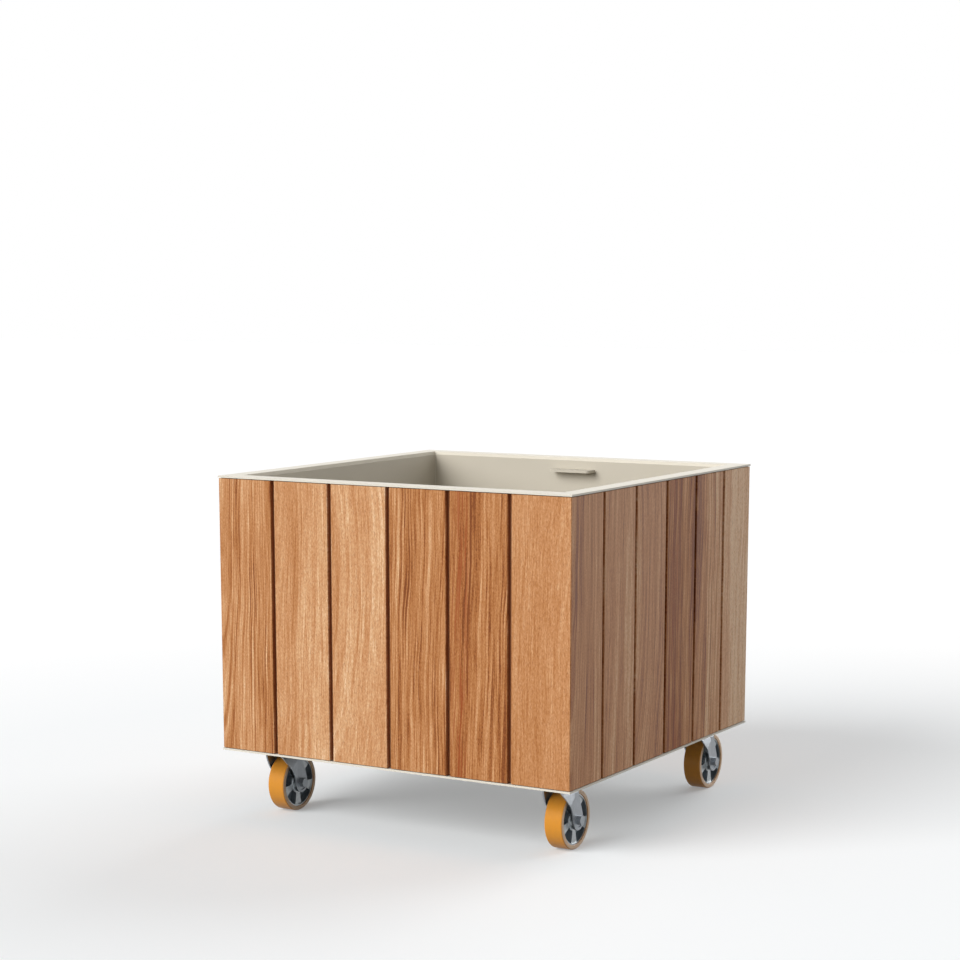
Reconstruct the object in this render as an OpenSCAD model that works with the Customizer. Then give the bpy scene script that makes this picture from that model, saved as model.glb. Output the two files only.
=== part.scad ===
// Rolling planter: a square steel casing clad with upright hardwood boards between two
// powder-coated rims, a lift-out liner with two lifting lugs, and four swivel castors.
// Millimetres. +Z is up, z = 0 is the floor, the front faces -Y, and the origin is the
// centre of the footprint.

/* [Planter body] */
// Width over the rims, along X
planter_w = 850; // [650:10:1000]
// Depth over the rims, along Y
planter_d = 850; // [650:10:1000]
// Height of the body, from the underside of the bottom flange to the top of the rim
body_h = 592; // [450:1:800]

/* [Rims and casing] */
// Width of the top rim
rim_w = 39; // [36:0.5:60]
// Thickness of the top rim plate
rim_t = 4; // [3:0.5:8]
// Height of the rim's inner edge, where the plate is folded down
rim_lip_h = 14; // [10:0.5:30]
// Sheet thickness of the folded edge
rim_lip_t = 3; // [2:0.5:4]
// Thickness of the bottom flange
flange_t = 4; // [3:0.5:8]
// How far the rims stand proud of the boards
rim_overhang = 1; // [0.5:0.5:5]
// Sheet thickness of the casing walls
wall_t = 3; // [2:0.5:5]

/* [Boards] */
// Number of boards on each side
boards_per_side = 6; // [4:1:6]
// Thickness of a board
board_t = 21; // [18:0.5:26]
// Width of the open shadow gap between two boards
shadow_gap = 9; // [4:0.5:14]
// Depth of the shadow gap, down to the tongue
shadow_depth = 10; // [7:0.5:12]
// Thickness of the tongue
tongue_t = 6; // [4:0.5:7]
// How far the tongue enters its groove
tongue_engage = 6; // [4:0.5:10]
// Play around the tongue in its groove
tongue_play = 0.5; // [0.3:0.1:1]
// Seam between a board's end and the rim or flange
board_end_gap = 1.5; // [0.5:0.5:4]
// Rounding of the boards' outer edges
board_edge_r = 1.5; // [0.5:0.5:3]
// Rounding of the mitred edges at the planter's corners
corner_edge_r = 0.5; // [0.3:0.1:2]
// Distance of the screws from a board's ends
screw_inset = 70; // [40:5:150]

/* [Liner] */
// Wall thickness of the liner
liner_t = 5; // [2:0.5:6]
// Gap between the liner and the rim's inner edge
liner_gap = 1; // [0.5:0.5:5]
// How far the liner's top edge lies below the rim's top
liner_drop = 7; // [3:0.5:30]
// Inner corner radius of the liner
liner_corner_r = 4; // [2:0.5:30]
// Width of a lifting lug
lug_w = 108; // [60:1:160]
// How far a lifting lug stands out from the liner's wall
lug_d = 30; // [22:1:60]
// Thickness of a lifting lug
lug_t = 6; // [3:0.5:10]
// Rounding of a lug's free corners
lug_r = 12; // [3:1:20]
// Depth of a lug's top below the rim's top
lug_drop = 26; // [10:1:80]
// Diameter of the drain holes in the liner and in the base plate
drain_d = 20; // [10:1:40]

/* [Chassis] */
// Thickness of the base plate that carries the castors
base_t = 4; // [3:0.5:8]
// How far the casing hangs below the castors' mounting face
skirt_drop = 20; // [10:1:24]
// Width of a chassis rail
rail_w = 40; // [25:1:60]
// Height of a chassis rail
rail_h = 30; // [22:1:50]
// Wall thickness of a chassis rail
rail_wall = 3; // [2:0.5:5]

/* [Castor] */
// Clearance between the tyre and the fork's crown
crown_gap = 12; // [8:0.5:20]
// Height of the swivel head, between the fork's crown and the top plate
head_h = 24; // [21:0.5:36]
// Offset of the wheel axle from the swivel axis
trail = 45; // [38:0.5:50]
// Length of the top plate, along Y
plate_l = 140; // [130:1:150]
// Width of the top plate, along X
plate_w = 110; // [104:1:130]
// Thickness of the top plate
plate_t = 6; // [5:0.5:8]
// Gap between the top plate's edge and the casing wall
plate_edge_gap = 1; // [0.5:0.5:20]
// Bolt spacing along Y
bolt_pitch_y = 105; // [100:1:120]
// Bolt spacing along X
bolt_pitch_x = 80; // [76:1:90]
// Diameter of the plate bolts
bolt_d = 10; // [8:1:10]
// Sheet thickness of the fork
fork_t = 3; // [2.5:0.5:4]
// Gap between the tyre's side and a fork leg
side_gap = 1.5; // [1.5:0.1:4]
// Radius of the leg's rounded end
leg_end_r = 22; // [18:0.5:24]
// Width of the raised lip round the leg's end
lip_w = 4.5; // [3:0.5:6]
// Height of the raised lip
lip_h = 1.8; // [0.6:0.1:2.4]
// Angle at which the front band of a leg flares out
leg_flare = 8.5; // [4:0.5:10]
// Width across the flats of the axle bolt's head and nut
axle_hex_w = 18; // [17:0.5:21]
// Height of the axle bolt's head and nut
axle_hex_h = 10; // [6:0.5:10]
// How far the axle bolt's end lies below the nut's face
axle_recess = 1; // [0.5:0.5:4]
// Radius of the swivel balls
ball_r = 4; // [3:0.5:4]
// Number of swivel balls
ball_count = 12; // [8:1:16]
// Diameter of the kingpin
kingpin_d = 12; // [10:1:16]

/* [Wheel] */
// Diameter of the wheel over its tyre
wheel_d = 125; // [115:1:130]
// Width of the tyre
tyre_w = 41; // [36:1:44]
// Thickness of the polyurethane tyre
tyre_t = 9; // [6:0.5:11]
// Rounding of the tyre's shoulders
tyre_shoulder_r = 3; // [1:0.5:5]
// Thickness of the rim ring inside the tyre
ring_t = 3; // [2:0.5:5]
// How far the rim ring lies back from the tyre's side
ring_recess = 2; // [0.5:0.5:4]
// How far the spokes lie back from the tyre's side
spoke_recess = 5; // [3:0.5:8]
// Number of spokes
spoke_count = 5; // [3:1:8]
// Width of a spoke at the hub
spoke_w = 13; // [8:0.5:16]
// Width of a spoke where it meets the rim ring
spoke_rim_w = 27; // [16:0.5:32]
// Radius of the hub
hub_r = 24; // [21:0.5:26]
// Thickness of the web between the spokes
web_t = 5; // [3:0.5:10]
// Side gap between the hub and each fork leg
hub_gap = 0.7; // [0.4:0.1:1]
// Diameter of the axle bolt
axle_d = 12; // [8:1:12]
// Outside diameter of the axle sleeve in the bearings
sleeve_d = 15; // [14:0.5:18]
// Outside diameter of a wheel bearing
bearing_d = 35; // [30:1:40]
// Width of a wheel bearing
bearing_w = 11; // [8:1:12]

/* [Hidden] */
$fn = 64;
run_gap = 0.05;            // radial running clearance of a shaft in its bore
slip_gap = 0.1;            // radial clearance of a bolt in a close hole
bolt_gap = 0.5;            // radial clearance of a bolt in a plate
seat_gap = 0.2;            // seat of one piece on another that moves away from it
joint_gap = 0.2;           // half of the mitre joint between two corner boards

// Heights above the floor
crown_bottom = wheel_d + crown_gap;
crown_top = crown_bottom + fork_t;
head_bottom = crown_bottom - 0.5;
plate_bottom = crown_top + head_h;
castor_h = plate_bottom + plate_t;
floor_gap = castor_h - skirt_drop;
total_h = floor_gap + body_h;
flange_top = floor_gap + flange_t;
rim_bottom = total_h - rim_t;
base_top = castor_h + base_t;
liner_bottom = base_top + rail_h + seat_gap;
liner_top = total_h - liner_drop;

// Plan sizes
clad_w = planter_w - 2 * rim_overhang;
clad_d = planter_d - 2 * rim_overhang;
case_w = clad_w - 2 * board_t;
case_d = clad_d - 2 * board_t;
inner_w = case_w - 2 * wall_t;
inner_d = case_d - 2 * wall_t;
liner_w = planter_w - 2 * rim_w - 2 * liner_gap;
liner_d = planter_d - 2 * rim_w - 2 * liner_gap;

// Boards
board_bottom = flange_top + board_end_gap;
board_h = rim_bottom - board_end_gap - board_bottom;
tongue_d0 = shadow_depth;
tongue_d1 = shadow_depth + tongue_t;
screw_r = 2;
screw_head_r = 4.5;
screw_head_t = 2.5;
screw_bite = 13;
screw_z = [board_bottom + screw_inset, board_bottom + board_h - screw_inset];

// Castors
castor_x = inner_w / 2 - plate_edge_gap - plate_w / 2;
castor_y = inner_d / 2 - plate_edge_gap - plate_l / 2;
wheel_r = wheel_d / 2;
fork_drop = crown_top - wheel_r;
leg_in = tyre_w / 2 + side_gap;
leg_out = leg_in + fork_t;
hub_half = leg_in - hub_gap;
lip_x = leg_out + lip_h;    // outer face of the lip
band_reach = 4.6;           // how far the flared band reaches beyond the lip
band_bend = 8;              // width of the bend between the flat and the band, inside the leg
crown_front = 29;           // leading corner of the crown, ahead of the swivel axis
crown_back = 44;            // trailing edge of the crown
crown_flat_x = 9;           // half the flat stretch of the crown, between the shoulders
ball_ring_r = 30;
ball_z = crown_top + head_h / 2 + seat_gap;
race_gap = 1.5;             // half the gap between the two races
race_w = 8;                 // how far a race reaches to either side of the balls
race_in_r = ball_ring_r - race_w;
race_out_r = ball_ring_r + race_w;
skirt_in_r = race_out_r + race_gap;
skirt_out_r = skirt_in_r + 2.5;
skirt_lift = 6;             // gap under the dust skirt
skirt_flare = 3;            // flare of the dust skirt at the top plate
race_lift = 4;              // step up from the crown's edge to the lower race
pin_collar_h = 6;
pin_collar_w = 5;
plate_corner_r = 10;
crown_edge = 2;             // bevel under the crown's edge
bolt_hole_r = bolt_d / 2 + bolt_gap;
hex_k = 1.7;                // width across the flats of a plate bolt's head, in bolt diameters
washer_t = 2;
bolt_head_h = 0.64 * bolt_d;
nut_h = 0.8 * bolt_d;
crease_y = 28;              // crease between the lip and the flat of a leg, behind the swivel axis
hub_step = 3;               // how far the hub's end is narrower than its root
bearing_inset = 0.5;        // how far a bearing lies back from the hub's end
bore_gap = 3;               // clearance of the wheel's bore round the sleeve

// Wheel
tread_r0 = wheel_r - tyre_t;
ring_half = tyre_w / 2 - ring_recess;
ring_in_r = tread_r0 - ring_t;
spoke_half = tyre_w / 2 - spoke_recess;

SIDES = ["front", "right", "back", "left"];
CORNERS = ["front_left", "front_right", "rear_left", "rear_right"];

// ---- outlines ----

// Points of a circular arc about [x, y], from angle a0 to a1 in n steps
function arc(x, y, r, a0, a1, n) =
    [for (i = [0:n]) [x + r * cos(a0 + (a1 - a0) * i / n), y + r * sin(a0 + (a1 - a0) * i / n)]];

// Points of a cubic Bezier curve, from point number i0 of n
function bezier(p, n, i0 = 0) =
    [for (i = [i0:n]) let (t = i / n, s = 1 - t)
        s * s * s * p[0] + 3 * s * s * t * p[1] + 3 * s * t * t * p[2] + t * t * t * p[3]];

// The point at shares u and v of the way from a to b
function between(a, b, u, v) = [a.x + u * (b.x - a.x), a.y + v * (b.y - a.y)];

// A half outline on the side of +X, closed with its mirror image
function both_sides(half) = concat(half, [for (i = [len(half) - 1:-1:0]) [-half[i].x, half[i].y]]);

// Outline of a rectangle about the origin with rounded corners
function rounded_rect(w, d, r, n = 6) = concat(
    arc(w / 2 - r, d / 2 - r, r, 0, 90, n),
    arc(r - w / 2, d / 2 - r, r, 90, 180, n),
    arc(r - w / 2, r - d / 2, r, 180, 270, n),
    arc(w / 2 - r, r - d / 2, r, 270, 360, n)
);

module frame_plate(w, d, in_w, in_d, z, t) {
    translate([0, 0, z]) linear_extrude(t) difference() {
        square([w, d], center = true);
        square([in_w, in_d], center = true);
    }
}

// Turns a piece drawn for the front side onto side s, for a front that is run wide
module onto_side(s) {
    rotate([0, 0, 90 * s]) translate([0, -(s % 2 == 0 ? clad_d : clad_w) / 2, 0]) children();
}

// Puts a piece drawn at one castor's swivel axis at corner c
module at_corner(c) {
    translate([(c % 2 == 0 ? -1 : 1) * castor_x, (c < 2 ? -1 : 1) * castor_y, 0]) children();
}

// Puts a piece drawn about the X axis on the wheel's axle
module on_axle() {
    translate([0, trail, wheel_r]) rotate([0, 90, 0]) children();
}

// ---- casing ----

// The rim's plate, folded down round the opening
module top_rim() {
    in_w = planter_w - 2 * rim_w;
    in_d = planter_d - 2 * rim_w;
    fold = 2 * rim_lip_t;
    z = total_h - rim_lip_h;
    color("#ECEBE0") difference() {
        frame_plate(planter_w, planter_d, in_w, in_d, z, rim_lip_h);
        frame_plate(planter_w + 2, planter_d + 2, in_w + fold, in_d + fold, z - rim_t, rim_lip_h);
    }
}

module casing() {
    color("#E6E4D8") difference() {
        union() {
            frame_plate(planter_w, planter_d, inner_w, inner_d, floor_gap, flange_t);
            frame_plate(case_w, case_d, inner_w, inner_d, floor_gap, rim_bottom - floor_gap);
        }
        board_screw_places() translate([0, 0, -wall_t - 1]) cylinder(h = wall_t + 2, r = screw_r + bolt_gap);
    }
}

module base_plate() {
    color("#D8D6CA") difference() {
        translate([0, 0, castor_h + base_t / 2]) cube([inner_w, inner_d, base_t], center = true);
        bolt_places() translate([0, 0, castor_h - 1]) cylinder(h = base_t + 2, r = bolt_hole_r);
        drain_places() translate([0, 0, castor_h - 1]) cylinder(h = base_t + 2, r = drain_d / 2);
    }
}

// Three box rails stand on the base plate, over the castors and in the middle
module chassis_rails() {
    color("#CFCDC2") for (y = [-castor_y, 0, castor_y])
        translate([0, y, base_top + rail_h / 2]) difference() {
            cube([inner_w - 2, rail_w, rail_h], center = true);
            cube([inner_w, rail_w - 2 * rail_wall, rail_h - 2 * rail_wall], center = true);
        }
}

module bolt_places() {
    for (c = [0:3]) at_corner(c)
        for (x = [-1, 1]) for (y = [-1, 1])
            translate([x * bolt_pitch_x / 2, y * bolt_pitch_y / 2, 0]) children();
}

module drain_places() {
    for (x = [-1, 1]) for (y = [-1, 1])
        translate([x * inner_w / 6, y * castor_y / 2, 0]) children();
}

module castor_bolts() {
    hex_r = hex_k * bolt_d / 2 / cos(30);
    shank_l = base_top + washer_t + nut_h + 3 - plate_bottom;
    color("#B9BCBE") bolt_places() {
        translate([0, 0, plate_bottom - bolt_head_h]) cylinder(h = bolt_head_h, r = hex_r, $fn = 6);
        translate([0, 0, plate_bottom - 1]) cylinder(h = shank_l, r = bolt_d / 2);
        translate([0, 0, base_top]) difference() {
            union() {
                cylinder(h = washer_t, r = bolt_d);
                cylinder(h = washer_t + nut_h, r = hex_r, $fn = 6);
            }
            translate([0, 0, -1]) cylinder(h = washer_t + nut_h + 2, r = bolt_d / 2 + slip_gap);
        }
    }
}

// ---- boards ----

// Profile of board i of a side that is run wide: x along the side, y into the planter.
// A tongue on the right bridges the shadow gap into the next board's groove, and the
// outer edges of the corner boards are mitred.
function board_x0(run, i) = -run / 2 + i * (run + shadow_gap) / boards_per_side;
function board_x1(run, i) = board_x0(run, i + 1) - shadow_gap;
function board_left(run, i) = i == 0
    ? [[board_x0(run, i) + joint_gap + board_t, board_t]]
    : let (x = board_x0(run, i), g = tongue_engage + tongue_play) [
        [x, board_t], [x, tongue_d1 + tongue_play], [x + g, tongue_d1 + tongue_play],
        [x + g, tongue_d0 - tongue_play], [x, tongue_d0 - tongue_play]];
function board_right(run, i) = i == boards_per_side - 1
    ? [[board_x1(run, i) - joint_gap - board_t, board_t]]
    : let (x = board_x1(run, i), g = shadow_gap + tongue_engage) [
        [x, tongue_d0], [x + g, tongue_d0], [x + g, tongue_d1], [x, tongue_d1], [x, board_t]];
function board_outline(run, i) =
    let (r = board_edge_r,
         c = corner_edge_r,
         x0 = board_x0(run, i) + (i == 0 ? joint_gap : 0),
         x1 = board_x1(run, i) - (i == boards_per_side - 1 ? joint_gap : 0),
         m = c * tan(67.5))
    concat(
        board_left(run, i),
        i == 0 ? arc(x0 + m, c, c, 135, 270, 4) : arc(x0 + r, r, r, 180, 270, 4),
        i == boards_per_side - 1 ? arc(x1 - m, c, c, 270, 405, 4) : arc(x1 - r, r, r, 270, 360, 4),
        board_right(run, i)
    );

module board(s, i) {
    run = s % 2 == 0 ? clad_w : clad_d;
    color(["#D2955F", "#C98D59", "#D89F6C", "#C2844F"][(s + 3 * i) % 4]) onto_side(s) difference() {
        translate([0, 0, board_bottom]) linear_extrude(board_h) polygon(board_outline(run, i));
        for (z = screw_z) translate([board_mid(run, i), board_t + 1, z])
            rotate([90, 0, 0]) cylinder(h = screw_bite + 2, r = screw_r + run_gap);
    }
}

function board_mid(run, i) = (board_x0(run, i) + board_x1(run, i)) / 2;

// Every screw's place: the origin on the casing's outer face, +Z into the planter
module board_screw_places() {
    for (s = [0:3]) onto_side(s) for (i = [0:boards_per_side - 1]) for (z = screw_z)
        translate([board_mid(s % 2 == 0 ? clad_w : clad_d, i), board_t, z]) rotate([90, 0, 0]) children();
}

module board_screws() {
    color("#A9ACAE") board_screw_places() {
        translate([0, 0, -wall_t - screw_head_t]) cylinder(h = screw_head_t, r = screw_head_r, $fn = 24);
        translate([0, 0, -wall_t - 1]) cylinder(h = wall_t + 1 + screw_bite, r = screw_r, $fn = 24);
    }
}

// ---- liner ----

module liner() {
    color("#D3CBBD") difference() {
        translate([0, 0, liner_bottom]) linear_extrude(liner_top - liner_bottom)
            polygon(rounded_rect(liner_w, liner_d, liner_corner_r + liner_t));
        translate([0, 0, liner_bottom + liner_t]) linear_extrude(liner_top - liner_bottom)
            polygon(rounded_rect(liner_w - 2 * liner_t, liner_d - 2 * liner_t, liner_corner_r));
        drain_places() translate([0, 0, liner_bottom - 1]) cylinder(h = liner_t + 2, r = drain_d / 2);
    }
}

// One lug on the front wall and one on the back wall
module lifting_lugs() {
    wall_y = liner_d / 2 - liner_t;
    outline = concat(
        [[-lug_w / 2, wall_y]],
        arc(lug_r - lug_w / 2, wall_y - lug_d + lug_r, lug_r, 180, 270, 8),
        arc(lug_w / 2 - lug_r, wall_y - lug_d + lug_r, lug_r, 270, 360, 8),
        [[lug_w / 2, wall_y]]
    );
    color("#D8D1C4") for (s = [0, 180]) rotate([0, 0, s])
        translate([0, 0, total_h - lug_drop - lug_t]) linear_extrude(lug_t) polygon(outline);
}

// ---- castor, drawn at its swivel axis with the wheel trailing towards +Y ----

// The top plate carries the upper ball race with its dust skirt, and the kingpin
module castor_plate(c) {
    pin_r = kingpin_d / 2;
    race_z = ball_z + race_gap;
    color("#B4B8BB") at_corner(c) difference() {
        union() {
            translate([0, 0, plate_bottom]) linear_extrude(plate_t)
                polygon(rounded_rect(plate_w, plate_l, plate_corner_r));
            rotate_extrude() difference() {
                polygon([
                    [race_in_r, race_z], [skirt_in_r, race_z], [skirt_in_r, crown_top + skirt_lift],
                    [skirt_out_r, crown_top + skirt_lift], [skirt_out_r, plate_bottom - skirt_flare],
                    [skirt_out_r + skirt_flare, plate_bottom],
                    [skirt_out_r + skirt_flare, plate_bottom + plate_t / 2],
                    [race_in_r, plate_bottom + plate_t / 2]
                ]);
                translate([ball_ring_r, ball_z]) circle(r = ball_r + seat_gap + slip_gap, $fn = 32);
            }
            translate([0, 0, head_bottom - seat_gap - pin_collar_h])
                cylinder(h = pin_collar_h, r = pin_r + pin_collar_w);
            translate([0, 0, head_bottom - seat_gap - pin_collar_h / 2])
                cylinder(h = head_h + fork_t + pin_collar_h, r = pin_r);
        }
        for (x = [-1, 1]) for (y = [-1, 1])
            translate([x * bolt_pitch_x / 2, y * bolt_pitch_y / 2, plate_bottom - plate_t / 2])
                cylinder(h = 2 * plate_t, r = bolt_hole_r);
    }
}

// Side view of the pressed fork: [y behind the swivel axis, z above the floor]
function fork_side() =
    let (p0 = [-crown_front, crown_top], p1 = [trail - leg_end_r, wheel_r],
         q0 = [trail + leg_end_r, wheel_r], q1 = [crown_back, crown_top])
    concat(
        bezier([p0, between(p0, p1, 0.54, 0.52), between(p0, p1, 0.98, 0.77), p1], 12),
        arc(trail, wheel_r, leg_end_r, 180, 360, 16),
        bezier([q0, between(q0, q1, 0.04, 0.23), between(q0, q1, 0.91, 0.55), q1], 12)
    );

// Front view of the fork, s inside its outer face: the legs draw in towards the crown and
// turn over the shoulders
function fork_arch(s) =
    let (x = lip_x + band_reach - s, z = crown_top - s,
         knee = [leg_out - s, wheel_r + 0.755 * fork_drop - s / 2])
    both_sides(concat(
        [[x, 0]],
        bezier([[x, wheel_r + 0.25 * fork_drop], [x, wheel_r + 0.48 * fork_drop],
                [knee.x + 3, knee.y - 11], knee], 6),
        bezier([knee, [knee.x - 2.6, knee.y + 9], [crown_flat_x + 8, z], [crown_flat_x, z]], 6, 1)
    ));

// Plan view of the fork's outside and of its inside: ahead of the crease the legs flare out
function band_x(y) = lip_x + (crease_y - y) * tan(leg_flare);
function plan_outside() = both_sides([
    [lip_x, 3 * wheel_r], [lip_x, crease_y], [band_x(-crown_front - 1), -crown_front - 1]
]);
function plan_inside() = both_sides([
    [leg_in, 3 * wheel_r], [leg_in, crease_y], [band_x(crease_y - band_bend) - fork_t, crease_y - band_bend],
    [band_x(-crown_front - 1) - fork_t, -crown_front - 1]
]);

// The flat of a leg, behind the crease and inside the lip that runs round the leg's end
function leg_flat() = concat(
    [[crease_y, crown_top], [crease_y, wheel_r + leg_end_r / 2]],
    arc(trail, wheel_r, leg_end_r - lip_w, 170, 330, 14),
    [[trail + leg_end_r + lip_w, wheel_r + leg_end_r / 2], [trail + leg_end_r + lip_w, crown_top]]
);

module castor_fork(c) {
    color("#AEB2B5") at_corner(c) difference() {
        union() {
            difference() {
                intersection() {
                    rotate([90, 0, 90]) linear_extrude(4 * wheel_r, center = true) polygon(fork_side());
                    rotate([90, 0, 0]) linear_extrude(4 * wheel_r, center = true) polygon(fork_arch(0));
                    linear_extrude(crown_top + 1) polygon(plan_outside());
                }
                intersection() {
                    rotate([90, 0, 0]) linear_extrude(4 * wheel_r, center = true) polygon(fork_arch(fork_t));
                    linear_extrude(crown_top + 1) polygon(plan_inside());
                }
            }
            rotate_extrude() difference() {
                polygon([
                    [0, head_bottom], [skirt_out_r - crown_edge, head_bottom],
                    [skirt_out_r, head_bottom + crown_edge], [skirt_out_r, crown_top],
                    [race_out_r, crown_top + race_lift], [race_out_r, ball_z - race_gap],
                    [race_in_r, ball_z - race_gap], [race_in_r, crown_top], [0, crown_top]
                ]);
                translate([ball_ring_r, ball_z]) circle(r = ball_r + slip_gap, $fn = 32);
            }
        }
        for (s = [0, 1]) mirror([s, 0, 0]) rotate([90, 0, 90])
            translate([0, 0, leg_out]) linear_extrude(wheel_r) polygon(leg_flat());
        translate([0, 0, head_bottom - 1]) cylinder(h = fork_t + 3, r = kingpin_d / 2 + run_gap);
        on_axle() cylinder(h = 4 * leg_out, r = axle_d / 2 + slip_gap, center = true);
    }
}

module castor_balls(c) {
    color("#D5D8DA") at_corner(c) for (i = [0:ball_count - 1])
        rotate([0, 0, i * 360 / ball_count]) translate([ball_ring_r, 0, ball_z]) sphere(r = ball_r, $fn = 24);
}

// Hexagon of the axle bolt's head and nut, with flats above and below once it is on the axle
module axle_hexagon() {
    rotate([0, 0, 30]) cylinder(h = axle_hex_h, r = axle_hex_w / 2 / cos(30), $fn = 6);
}

// Axle bolt with its head on the +X leg, a nut on the other, and the sleeve that the bearings turn on
module castor_axle(c) {
    bolt_l = 2 * leg_out + 1.5 * axle_hex_h - axle_recess;
    color("#C3C6C8") at_corner(c) on_axle() {
        translate([0, 0, leg_out]) axle_hexagon();
        translate([0, 0, leg_out + axle_hex_h / 2 - bolt_l]) cylinder(h = bolt_l, r = axle_d / 2);
        translate([0, 0, -leg_out - axle_hex_h]) difference() {
            axle_hexagon();
            translate([0, 0, -1]) cylinder(h = axle_hex_h + 2, r = axle_d / 2 + slip_gap);
        }
        difference() {
            cylinder(h = 2 * leg_in, r = sleeve_d / 2, center = true);
            cylinder(h = 3 * leg_in, r = axle_d / 2 + slip_gap, center = true);
        }
    }
}

module castor_bearings(c) {
    color("#9FA3A6") at_corner(c) on_axle() for (s = [0, 1]) mirror([0, 0, s])
        translate([0, 0, hub_half - bearing_inset - bearing_w]) difference() {
            cylinder(h = bearing_w, r = bearing_d / 2);
            translate([0, 0, -1]) cylinder(h = bearing_w + 2, r = sleeve_d / 2 + run_gap);
        }
}

// One spoke along +X: it starts inside the hub and widens in a curve to the rim ring
function spoke_outline() =
    let (x0 = hub_r / 2, x1 = ring_in_r + ring_t / 2, h = spoke_w / 2, k = spoke_rim_w / 2)
    concat([[x0, -h]], bezier([[hub_r, -h], [hub_r + 14, -h - 2], [x1 - 6, -k + 3], [x1, -k]], 8),
           bezier([[x1, k], [x1 - 6, k - 3], [hub_r + 14, h + 2], [hub_r, h]], 8), [[x0, h]]);

// Cast aluminium wheel: rim ring, web, spokes with pockets between them, and hub
module castor_wheel(c) {
    core_r = tread_r0 - run_gap;
    color("#A7AAAC") at_corner(c) on_axle() difference() {
        union() {
            rotate_extrude() polygon([
                [0, -web_t / 2], [ring_in_r, -web_t / 2], [ring_in_r, -ring_half], [core_r, -ring_half],
                [core_r, ring_half], [ring_in_r, ring_half], [ring_in_r, web_t / 2], [0, web_t / 2]
            ]);
            cylinder(h = 2 * hub_half, r = hub_r - hub_step, center = true);
            linear_extrude(2 * spoke_half, center = true) {
                circle(r = hub_r);
                intersection() {
                    circle(r = ring_in_r + ring_t / 2);
                    for (i = [0:spoke_count - 1]) rotate(i * 360 / spoke_count) polygon(spoke_outline());
                }
            }
        }
        cylinder(h = 3 * hub_half, r = sleeve_d / 2 + bore_gap, center = true);
        for (s = [0, 1]) mirror([0, 0, s]) translate([0, 0, hub_half - bearing_inset - bearing_w])
            cylinder(h = 2 * bearing_w, r = bearing_d / 2 + run_gap);
    }
}

module castor_tyre(c) {
    h = tyre_w / 2;
    r = tyre_shoulder_r;
    color("#DB943C") at_corner(c) on_axle() rotate_extrude($fn = 96) polygon(concat(
        [[tread_r0, -h]], arc(wheel_r - r, r - h, r, 270, 360, 5),
        arc(wheel_r - r, h - r, r, 0, 90, 5), [[tread_r0, h]]
    ));
}

// ---- nodes ----

top_rim();
casing();
base_plate();
chassis_rails();
liner();
lifting_lugs();
castor_bolts();
board_screws();
for (s = [0:3]) for (i = [0:boards_per_side - 1])
    board(s, i);
for (c = [0:3]) {
    castor_plate(c);
    castor_fork(c);
    castor_balls(c);
    castor_axle(c);
    castor_bearings(c);
    castor_wheel(c);
    castor_tyre(c);
}
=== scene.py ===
"""Rolling planter: hardwood boards on a powder-coated casing with a lift-out liner, on four swivel castors.

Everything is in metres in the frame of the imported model, and the patterns of the materials are in
millimetres. The front faces -Y.
"""
import math

import bpy
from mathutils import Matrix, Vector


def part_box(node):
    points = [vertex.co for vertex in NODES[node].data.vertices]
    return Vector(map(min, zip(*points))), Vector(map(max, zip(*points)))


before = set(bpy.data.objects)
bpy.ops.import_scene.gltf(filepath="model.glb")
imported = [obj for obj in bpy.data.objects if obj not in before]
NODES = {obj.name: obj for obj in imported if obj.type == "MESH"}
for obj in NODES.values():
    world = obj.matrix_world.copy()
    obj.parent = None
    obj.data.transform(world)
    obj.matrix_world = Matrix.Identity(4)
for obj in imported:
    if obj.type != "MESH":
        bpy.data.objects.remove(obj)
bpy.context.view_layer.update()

MM = 0.001

SIDES = ("front", "right", "back", "left")
CORNERS = ("front_left", "front_right", "rear_left", "rear_right")


# ---------------------------------------------------------------- helpers

def linear(colour):
    """An sRGB hex colour such as "#D2955F" as linear RGBA."""
    srgb = [int(colour[i:i + 2], 16) / 255 for i in (1, 3, 5)]
    return [c / 12.92 if c <= 0.04045 else ((c + 0.055) / 1.055) ** 2.4 for c in srgb] + [1.0]


def add(tree, kind, inputs=None, output=0, **settings):
    """Adds one node and gives its output of that name or number. inputs gives a socket, by name or number,
    a value or another node's output."""
    node = tree.nodes.new("ShaderNode" + kind)
    for name, value in settings.items():
        setattr(node, name, value)
    for key, value in (inputs or {}).items():
        if isinstance(value, bpy.types.NodeSocket):
            tree.links.new(value, node.inputs[key])
        else:
            node.inputs[key].default_value = value
    return node.outputs[output] if node.outputs else None


def new_material(name):
    """An empty material and its node tree."""
    material = bpy.data.materials.new(name)
    material.use_nodes = True
    material.node_tree.nodes.clear()
    return material, material.node_tree


def wear(material, *names):
    """Gives CAD nodes a material in place of their own."""
    for name in names:
        mesh = NODES[name].data
        mesh.materials.clear()
        mesh.materials.append(material)


def middle(name):
    """The middle of a CAD node's box."""
    low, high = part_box(name)
    return [(a + b) / 2 for a, b in zip(low, high)]


# ---------------------------------------------------------------- wood

# the wood's tones from its darkest growth lines to pale sapwood: place along the ramp, and colour
WOOD_RAMP = (
    (0.0, "#743A0C"), (0.2, "#9D5F2D"), (0.4, "#B17745"),
    (0.6, "#C28A5C"), (0.8, "#D3A376"), (1.0, "#E6C29B"))
RED_WOOD = "#914215"
PORE = "#894E23"
# the dark red-brown at the bottom of the gaps is painted shade
GAP_SHADE_WOOD = "#9B6440"
WOOD_IOR = 1.5
LINE_DEPTH = 0.35    # how far a full thin growth line lowers the tone

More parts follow.
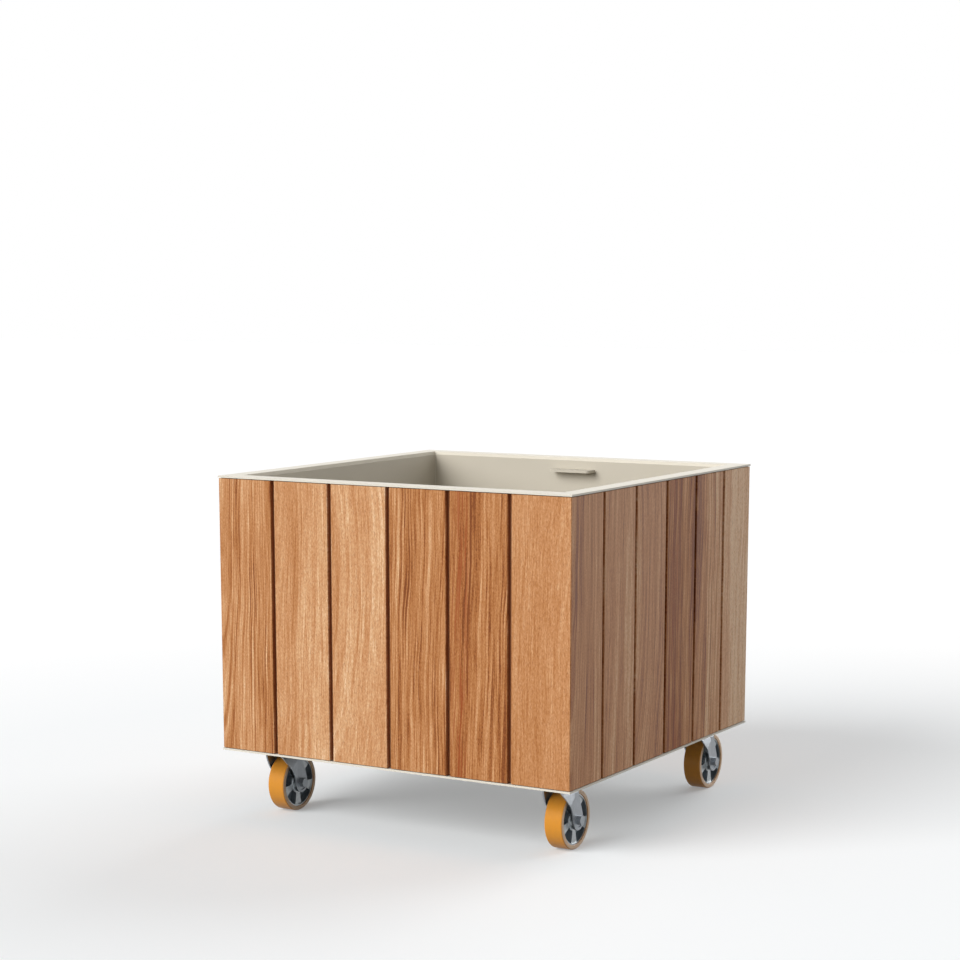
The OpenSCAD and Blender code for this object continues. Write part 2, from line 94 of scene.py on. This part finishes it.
# in mm
BOARD_DEPTH = 10.5   # from a board's middle to its outer face
SWAY = 4.0           # how far the grain wanders sideways over the length of a board
ZONE_BLUR = 2.0      # half the width over which one zone's tone passes into the next
# between these two depths the wood in the gaps is painted darker, as painted shade
GAP_STARTS = 2.0     # how far behind the face the wood of the gaps begins to darken
GAP_DARK = 8.0       # and how far behind it is wholly dark

# How a board was sawn from its log: how far to the side of the board's middle the pith lies, how far
# behind it half way up, and how much further behind for each mm up. The growth rings run about the pith,
# so a plain sawn board has arches and a quarter sawn one nearly straight lines. All lengths are in mm.
CUTS = {"plain": (70, 25, 0.05), "rift": (120, 25, 0.25), "quarter": (220, 60, 0.1)}

# Each board: its cut, the side of its pith, with -1 for the left, its tone, and how strong its bands and
# its thin growth lines are. Zones are steps in tone: place right of the board's middle, and change. Red is
# the middle, half width and strength of a red-brown heart. ior is given for the drier boards, which
# shine less than the others.
FRONT_BOARDS = (
    dict(cut="plain", pith=-1, tone=0.57, bands=0.9, lines=1.2,
         zones=((-74, 0.05), (-14, -0.02), (30, -0.06))),
    dict(cut="plain", pith=-1, tone=0.68, bands=0.8, lines=0.4,
         zones=((-74, -0.06), (-24, 0.0), (10, 0.06))),
    dict(cut="rift", pith=-1, tone=0.70, bands=0.8, lines=0.3, zones=()),
    dict(cut="quarter", pith=1, tone=0.46, bands=0.9, lines=1.2, zones=((-74, 0.04), (-20, 0.0))),
    dict(cut="quarter", pith=-1, tone=0.43, bands=0.6, lines=1.0, zones=((-74, -0.09), (-10, 0.03)),
         red=(-48, 24, 0.8)),
    dict(cut="rift", pith=1, tone=0.57, bands=0.4, lines=0.25, zones=()))
RIGHT_BOARDS = (
    dict(cut="plain", pith=-1, tone=0.48, bands=1.0, lines=0.9, zones=((-74, -0.05), (10, 0.05))),
    dict(cut="quarter", pith=-1, tone=0.57, bands=1.0, lines=0.7, zones=()),
    dict(cut="rift", pith=-1, tone=0.50, bands=1.0, lines=0.7, zones=((-74, 0.04), (5, -0.06))),
    dict(cut="plain", pith=1, tone=0.31, bands=1.2, lines=1.2, zones=((-74, -0.06), (4, 0.12), (33, 0.02)),
         red=(-36, 32, 0.8), ior=1.35),
    dict(cut="plain", pith=-1, tone=0.58, bands=1.1, lines=1.2, zones=((-74, -0.20), (-14, 0.14)),
         ior=1.41),
    dict(cut="quarter", pith=1, tone=0.85, bands=1.0, lines=0.3,
         zones=((-66, -0.06), (-30, 0.04), (34, 0.10))))
# the photograph doesn't show the back and the left: they have the same boards in the other order
BOARDS = {
    "front": FRONT_BOARDS, "right": RIGHT_BOARDS,
    "back": FRONT_BOARDS[::-1], "left": RIGHT_BOARDS[::-1]}


def oiled_hardwood(side, number):
    """Oiled tropical hardwood, planed and sanded. Growth rings about a pith give broad bands and thin dark
    lines that run up the board or arch across it, with fine fibre, short open pores, and a soft sheen."""
    board = BOARDS[side][number]
    turn = SIDES.index(side)
    seed = 7.3 * number + 61.0 * turn
    material, tree = new_material(f"oiled_hardwood_{side}_{number + 1}")
    # millimetres from the board's middle: x to the right along its face, y inwards and z up
    place = add(tree, "Mapping", {
        0: add(tree, "TexCoord", output="Object"), 1: middle(f"{side}_board_{number + 1}"),
        2: (0, 0, turn * math.pi / 2), 3: (MM, MM, MM)}, vector_type="TEXTURE")
    x, y, z = add(tree, "SeparateXYZ", {0: place}).node.outputs

    def grain(vector, wide, long, detail, layer):
        """Noise in streaks about wide across and long up the board."""
        streaks = add(tree, "Mapping", {0: vector, 1: (0, seed + layer, 0), 3: (1 / wide, 0, 1 / long)})
        return add(tree, "TexNoise", {0: streaks, "Scale": 1.0, "Detail": detail, "Roughness": 0.6})

    # noise lies mostly between 0.3 and 0.7
    wander = grain(place, 90, 240, 1.0, 0)
    sway = add(tree, "MapRange", {0: wander, 1: 0.3, 2: 0.7, 3: -SWAY, 4: SWAY})
    swayed = add(tree, "Math", {0: x, 1: sway})
    aside, depth, lean = CUTS[board["cut"]]
    off_pith = add(tree, "Math", {0: swayed, 1: board["pith"] * aside}, operation="SUBTRACT")
    behind = add(tree, "Math", {0: z, 1: board["pith"] * lean, 2: depth}, operation="MULTIPLY_ADD")
    from_pith = add(tree, "CombineXYZ", {0: off_pith, 1: behind})
    ring = add(tree, "VectorMath", {0: from_pith}, "Value", operation="LENGTH")
    rings = add(tree, "CombineXYZ", {0: ring, 2: z})

    # each layer of the grain, and how far it moves the tone: three widths of growth bands, then fibre
    # and pores
    layers = (
        (grain(rings, 34, 700, 1.0, 1), 0.6 * board["bands"]),
        (grain(rings, 10, 450, 2.0, 2), 0.9 * board["bands"]),
        (grain(rings, 5, 400, 1.0, 9), 0.9 * board["lines"]),
        # these two are a third of a millimetre wide: drawn at 2 mm so that the render shows them
        (grain(place, 2.2, 60, 1.0, 5), 0.45 + 0.35 * board["lines"]),
        (grain(place, 2.0, 5, 1.0, 6), 0.6))
    tone = board["tone"] - 0.5 * sum(share for _, share in layers)
    for layer, share in layers:
        tone = add(tree, "Math", {0: layer, 1: share, 2: tone}, operation="MULTIPLY_ADD")
    # thin growth lines, in crowds with clear wood between them
    lines = add(tree, "MapRange", {0: grain(rings, 3.4, 400, 1.0, 3), 1: 0.48, 2: 0.60})
    crowding = add(tree, "MapRange", {0: grain(rings, 24, 500, 1.0, 4), 1: 0.38, 2: 0.60})
    line = add(tree, "Math", {0: lines, 1: crowding}, operation="MULTIPLY")
    tone = add(tree, "Math", {0: line, 1: -LINE_DEPTH * board["lines"], 2: tone}, operation="MULTIPLY_ADD")
    last = 0.0
    for start, change in board["zones"]:
        step = add(tree, "MapRange", {
            0: swayed, 1: start - ZONE_BLUR, 2: start + ZONE_BLUR, 4: change - last})
        tone = add(tree, "Math", {0: tone, 1: step})
        last = change
    colour = add(tree, "ValToRGB", {0: tone})
    elements = colour.node.color_ramp.elements
    elements[0].color, elements[1].color = linear(WOOD_RAMP[0][1]), linear(WOOD_RAMP[-1][1])
    for position, tint in WOOD_RAMP[1:-1]:
        elements.new(position).color = linear(tint)
    if "red" in board:
        centre, reach, strength = board["red"]
        off_centre = add(tree, "Math", {0: swayed, 1: centre}, operation="SUBTRACT")
        away = add(tree, "Math", {0: off_centre}, operation="ABSOLUTE")
        near = add(tree, "MapRange", {0: away, 1: reach, 2: 0.4 * reach, 4: strength})
        streak = add(tree, "MapRange", {0: grain(rings, 4, 200, 2.0, 7), 1: 0.50, 2: 0.62})
        heart = add(tree, "Math", {0: near, 1: streak}, operation="MULTIPLY")
        colour = add(tree, "Mix", {0: heart, 6: colour, 7: linear(RED_WOOD)}, 2, data_type="RGBA")
    pores = add(tree, "MapRange", {0: grain(place, 1.8, 7, 1.0, 8), 1: 0.57, 2: 0.75, 4: 0.5})
    pored = add(tree, "Mix", {0: pores, 6: colour, 7: linear(PORE)}, 2, data_type="RGBA")
    # in the gaps the wood is painted dark red-brown: painted shade, where light doesn't reach
    painted_gap_shade = add(tree, "MapRange", {0: y, 1: GAP_STARTS - BOARD_DEPTH, 2: GAP_DARK - BOARD_DEPTH})
    wood_with_gap_shade = add(tree, "Mix", {0: painted_gap_shade, 6: pored, 7: linear(GAP_SHADE_WOOD)}, 2, data_type="RGBA")
    bump = add(tree, "Bump", {"Height": pores, "Strength": 0.15, "Distance": 0.3 * MM}, invert=True)
    wood = add(tree, "BsdfPrincipled", {
        "Base Color": wood_with_gap_shade, "Roughness": 0.5, "IOR": board.get("ior", WOOD_IOR), "Normal": bump})
    add(tree, "OutputMaterial", {0: wood})
    return material


for side in SIDES:
    for number in range(len(BOARDS[side])):
        wear(oiled_hardwood(side, number), f"{side}_board_{number + 1}")


# ---------------------------------------------------------------- coatings and metals

def powder_coat(name, colour, dusty, roughness):
    """Powder coat baked on steel: even and satin, a little greyer in faint clouds, with the orange peel
    that the melted powder leaves, about 2 mm from dimple to dimple."""
    material, tree = new_material(name)
    place = add(tree, "TexCoord", output="Object")
    clouds = add(tree, "TexNoise", {0: place, "Scale": 1 / (90 * MM), "Detail": 3.0})
    tone = add(tree, "Mix", {0: clouds, 6: linear(colour), 7: linear(dusty)}, 2, data_type="RGBA")
    dimples = add(tree, "TexNoise", {0: place, "Scale": 1 / (2 * MM), "Detail": 1.0})
    peel = add(tree, "Bump", {"Height": dimples, "Strength": 0.15, "Distance": 0.1 * MM})
    coat = add(tree, "BsdfPrincipled", {
        "Base Color": tone, "Roughness": roughness, "IOR": 1.5, "Normal": peel})
    add(tree, "OutputMaterial", {0: coat})
    return material


def bare_metal(name, colour, dull, roughness, grit):
    """Bare or plated metal: bright metal with duller, rougher patches about 6 mm across, and a fine grit,
    whose size is given in mm."""
    material, tree = new_material(name)
    place = add(tree, "TexCoord", output="Object")
    patches = add(tree, "TexNoise", {0: place, "Scale": 1 / (6 * MM), "Detail": 4.0})
    tone = add(tree, "Mix", {0: patches, 6: linear(colour), 7: linear(dull)}, 2, data_type="RGBA")
    rough = add(tree, "MapRange", {0: patches, 3: roughness * 0.8, 4: roughness * 1.2})
    grains = add(tree, "TexNoise", {0: place, "Scale": 1 / (grit * MM), "Detail": 1.0})
    gritty = add(tree, "Bump", {"Height": grains, "Strength": 0.1, "Distance": 0.1 * MM})
    metal = add(tree, "BsdfPrincipled", {
        "Base Color": tone, "Metallic": 1.0, "Roughness": rough, "Normal": gritty})
    add(tree, "OutputMaterial", {0: metal})
    return material


# in mm: the spokes' faces and the pockets' floors out from the wheel's middle, and from the axle the rim
# ring's inner edge and where the pockets are wholly dark, with the casting's skin and painted shade
SPOKE_FACE, POCKET_FLOOR = 15.2, 12.0
RIM_RING, POCKET_EDGE = 50.3, 49.0
# and where a tyre's tread ends and its flat flank, painted pale as a painted sheen, starts, out from its
# middle
TREAD_END, FLANK_START = 19.6, 20.3


def cast_wheel(corner):
    """Die-cast aluminium wheel centre: its rim ring, spoke faces and hub are turned bright, and the pockets
    between them keep the rougher, duller skin of the casting; their dark grey is partly that skin and
    partly painted shade in the recesses."""
    material, tree = new_material(f"cast_aluminium_{corner}")
    # millimetres from the wheel's middle, with x along the axle
    place = add(tree, "Mapping", {
        0: add(tree, "TexCoord", output="Object"), 1: middle(f"castor_wheel_{corner}"), 3: (MM, MM, MM)},
        vector_type="TEXTURE")
    x, y, z = add(tree, "SeparateXYZ", {0: place}).node.outputs
    off_axle = add(tree, "CombineXYZ", {0: y, 1: z})
    radius = add(tree, "VectorMath", {0: off_axle}, "Value", operation="LENGTH")
    side = add(tree, "Math", {0: x}, operation="ABSOLUTE")
    deep = add(tree, "MapRange", {0: side, 1: SPOKE_FACE, 2: POCKET_FLOOR})
    inside = add(tree, "MapRange", {0: radius, 1: RIM_RING, 2: POCKET_EDGE})
    pocket_skin_and_shade = add(tree, "Math", {0: deep, 1: inside}, operation="MULTIPLY")
    patches = add(tree, "TexNoise", {0: place, "Scale": 1 / 5, "Detail": 4.0})
    turned = add(tree, "Mix", {0: patches, 6: linear("#C4C8CA"), 7: linear("#A9AEB1")}, 2, data_type="RGBA")
    # the pockets' dark grey is partly the casting's skin and partly painted shade
    tone = add(tree, "Mix", {0: pocket_skin_and_shade, 6: turned, 7: linear("#7E8890")}, 2, data_type="RGBA")
    rough = add(tree, "MapRange", {0: pocket_skin_and_shade, 3: 0.34, 4: 0.6})
    shiny = add(tree, "MapRange", {0: pocket_skin_and_shade, 3: 1.0, 4: 0.2})
    metal = add(tree, "BsdfPrincipled", {"Base Color": tone, "Metallic": shiny, "Roughness": rough})
    add(tree, "OutputMaterial", {0: metal})
    return material


def cast_polyurethane(corner):
    """Cast polyurethane tyre: an even amber, slightly waxy, with light scuffs. Its flat flanks are painted
    a pale tan: a painted sheen for the white reflection that they show at a grazing angle."""
    material, tree = new_material(f"cast_polyurethane_{corner}")
    place = add(tree, "Mapping", {
        0: add(tree, "TexCoord", output="Object"), 1: middle(f"castor_tyre_{corner}"), 3: (MM, MM, MM)},
        vector_type="TEXTURE")
    x = add(tree, "SeparateXYZ", {0: place})
    side = add(tree, "Math", {0: x}, operation="ABSOLUTE")
    painted_flank_sheen = add(tree, "MapRange", {0: side, 1: TREAD_END, 2: FLANK_START})
    scuffs = add(tree, "TexNoise", {0: place, "Scale": 1 / 9, "Detail": 4.0})
    amber = add(tree, "Mix", {0: scuffs, 6: linear("#DC922B"), 7: linear("#D08B30")}, 2, data_type="RGBA")
    # the flanks' pale tan is a painted sheen, not a colour of the polyurethane
    tone = add(tree, "Mix", {0: painted_flank_sheen, 6: amber, 7: linear("#F3D0AE")}, 2, data_type="RGBA")
    rubber = add(tree, "BsdfPrincipled", {"Base Color": tone, "Roughness": 0.42, "IOR": 1.5})
    add(tree, "OutputMaterial", {0: rubber})
    return material


wear(powder_coat("powder_coated_steel", "#E0DACD", "#DBD5C7", 0.45),
     "top_rim", "casing", "base_plate", "chassis_rails")
wear(powder_coat("coated_liner_steel", "#C4BDAF", "#BFB8A9", 0.5), "liner", "lifting_lugs")
zinc = bare_metal("zinc_plated_steel", "#A9ADB2", "#92979C", 0.36, 0.8)
bright = bare_metal("ground_bearing_steel", "#D8DADC", "#C8CACC", 0.2, 0.4)
wear(zinc, "castor_bolts", "board_screws")
for corner in CORNERS:
    wear(zinc, f"castor_plate_{corner}", f"castor_fork_{corner}", f"castor_axle_{corner}")
    wear(cast_wheel(corner), f"castor_wheel_{corner}")
    wear(bright, f"castor_balls_{corner}", f"castor_bearings_{corner}")
    wear(cast_polyurethane(corner), f"castor_tyre_{corner}")


# ---------------------------------------------------------------- floor, light and camera

def seen_plainly(tree):
    """1 for what the camera, a reflection or a glass sees, 0 for the light that the surface gives."""
    rays = ("Is Camera Ray", "Is Glossy Ray", "Is Transmission Ray")
    camera, glossy, clear = (add(tree, "LightPath", output=name) for name in rays)
    seen = add(tree, "Math", {0: camera, 1: glossy}, operation="MAXIMUM")
    return add(tree, "Math", {0: seen, 1: clear}, operation="MAXIMUM")


FLOOR_REACH = 30.0             # metres from the object to the floor's edges
FADE_START, FADE_END = 1.4, 2.6   # metres from the object between which the floor turns wholly white
FLOOR_GLOW = 0.25              # the share of the floor that the camera sees as its own glow


def studio_floor():
    """A matt white floor. It throws back less light than it shows, and a part of what the camera sees is
    its own glow, so that shadows on it stay pale and it fades to the white of the background."""
    mesh = bpy.data.meshes.new("studio_floor")
    square = [(x * FLOOR_REACH, y * FLOOR_REACH, 0) for x, y in ((-1, -1), (1, -1), (1, 1), (-1, 1))]
    mesh.from_pydata(square, [], [(0, 1, 2, 3)])
    floor = bpy.data.objects.new("studio_floor", mesh)
    bpy.context.scene.collection.objects.link(floor)
    material, tree = new_material("matt_floor")
    seen = seen_plainly(tree)
    away = add(tree, "VectorMath", {0: add(tree, "TexCoord", output="Object")}, "Value", operation="LENGTH")
    far = add(tree, "MapRange", {0: away, 1: FADE_START, 2: FADE_END})
    # near the object it is a trace cooler, against the warm light that the boards throw on it
    white = add(tree, "Mix", {0: far, 6: linear("#F6F8F9"), 7: linear("#FFFFFF")}, 2, data_type="RGBA")
    tone = add(tree, "Mix", {0: seen, 6: linear("#7C7C7C"), 7: white}, 2, data_type="RGBA")
    matt = add(tree, "BsdfDiffuse", {0: tone})
    glow = add(tree, "Emission", {0: white, "Strength": 1.0})
    share = add(tree, "Math", {0: seen, 1: FLOOR_GLOW}, operation="MULTIPLY")
    add(tree, "OutputMaterial", {0: add(tree, "MixShader", {0: share, 1: matt, 2: glow})})
    mesh.materials.append(material)


def soft_lamp(name, turn, rise, spread, level, shine=True):
    """A broad far lamp. Its angles are in degrees: turn is its bearing, clockwise from straight behind the
    object, rise its height over the floor, and spread the part of the sky that it fills. level is the share
    of a white card's full brightness that it gives one that faces it, and shine says whether it also shows
    in reflections."""
    lamp = bpy.data.lights.new(name, "SUN")
    lamp.angle, lamp.energy = math.radians(spread), math.pi * level
    light = bpy.data.objects.new(name, lamp)
    light.visible_glossy = shine
    light.rotation_euler = (math.radians(90 - rise), 0, math.radians(180 - turn))
    bpy.context.scene.collection.objects.link(light)


def studio_world(level):
    """White for the camera and in reflections, and for the light a dome of that level."""
    world = bpy.data.worlds.new("studio")
    world.use_nodes = True
    tree = world.node_tree
    tree.nodes.clear()
    strength = add(tree, "MapRange", {0: seen_plainly(tree), 3: level, 4: 1.0})
    add(tree, "OutputWorld", {0: add(tree, "Background", {0: linear("#FFFFFF"), "Strength": strength})})
    bpy.context.scene.world = world


studio_floor()
studio_world(0.31)
soft_lamp("key_light", -155, 25.3, 42, 1.05, shine=False)
soft_lamp("back_light", 14, 27.8, 52, 0.56)

CAMERA_PLACE = (2.4675, -4.2440, 1.1521)
CAMERA_TURN = math.radians(30.486)   # to the left of straight on
CAMERA_DIP = math.radians(9.81)
camera_data = bpy.data.cameras.new("camera")
camera_data.sensor_width = 36.0
camera_data.lens = 84.3
camera_data.shift_y = 0.1955
camera = bpy.data.objects.new("camera", camera_data)
camera.location = CAMERA_PLACE
camera.rotation_euler = (math.radians(90) - CAMERA_DIP, 0, CAMERA_TURN)
bpy.context.scene.collection.objects.link(camera)
bpy.context.scene.camera = camera
bpy.context.scene.view_settings.view_transform = "Standard"
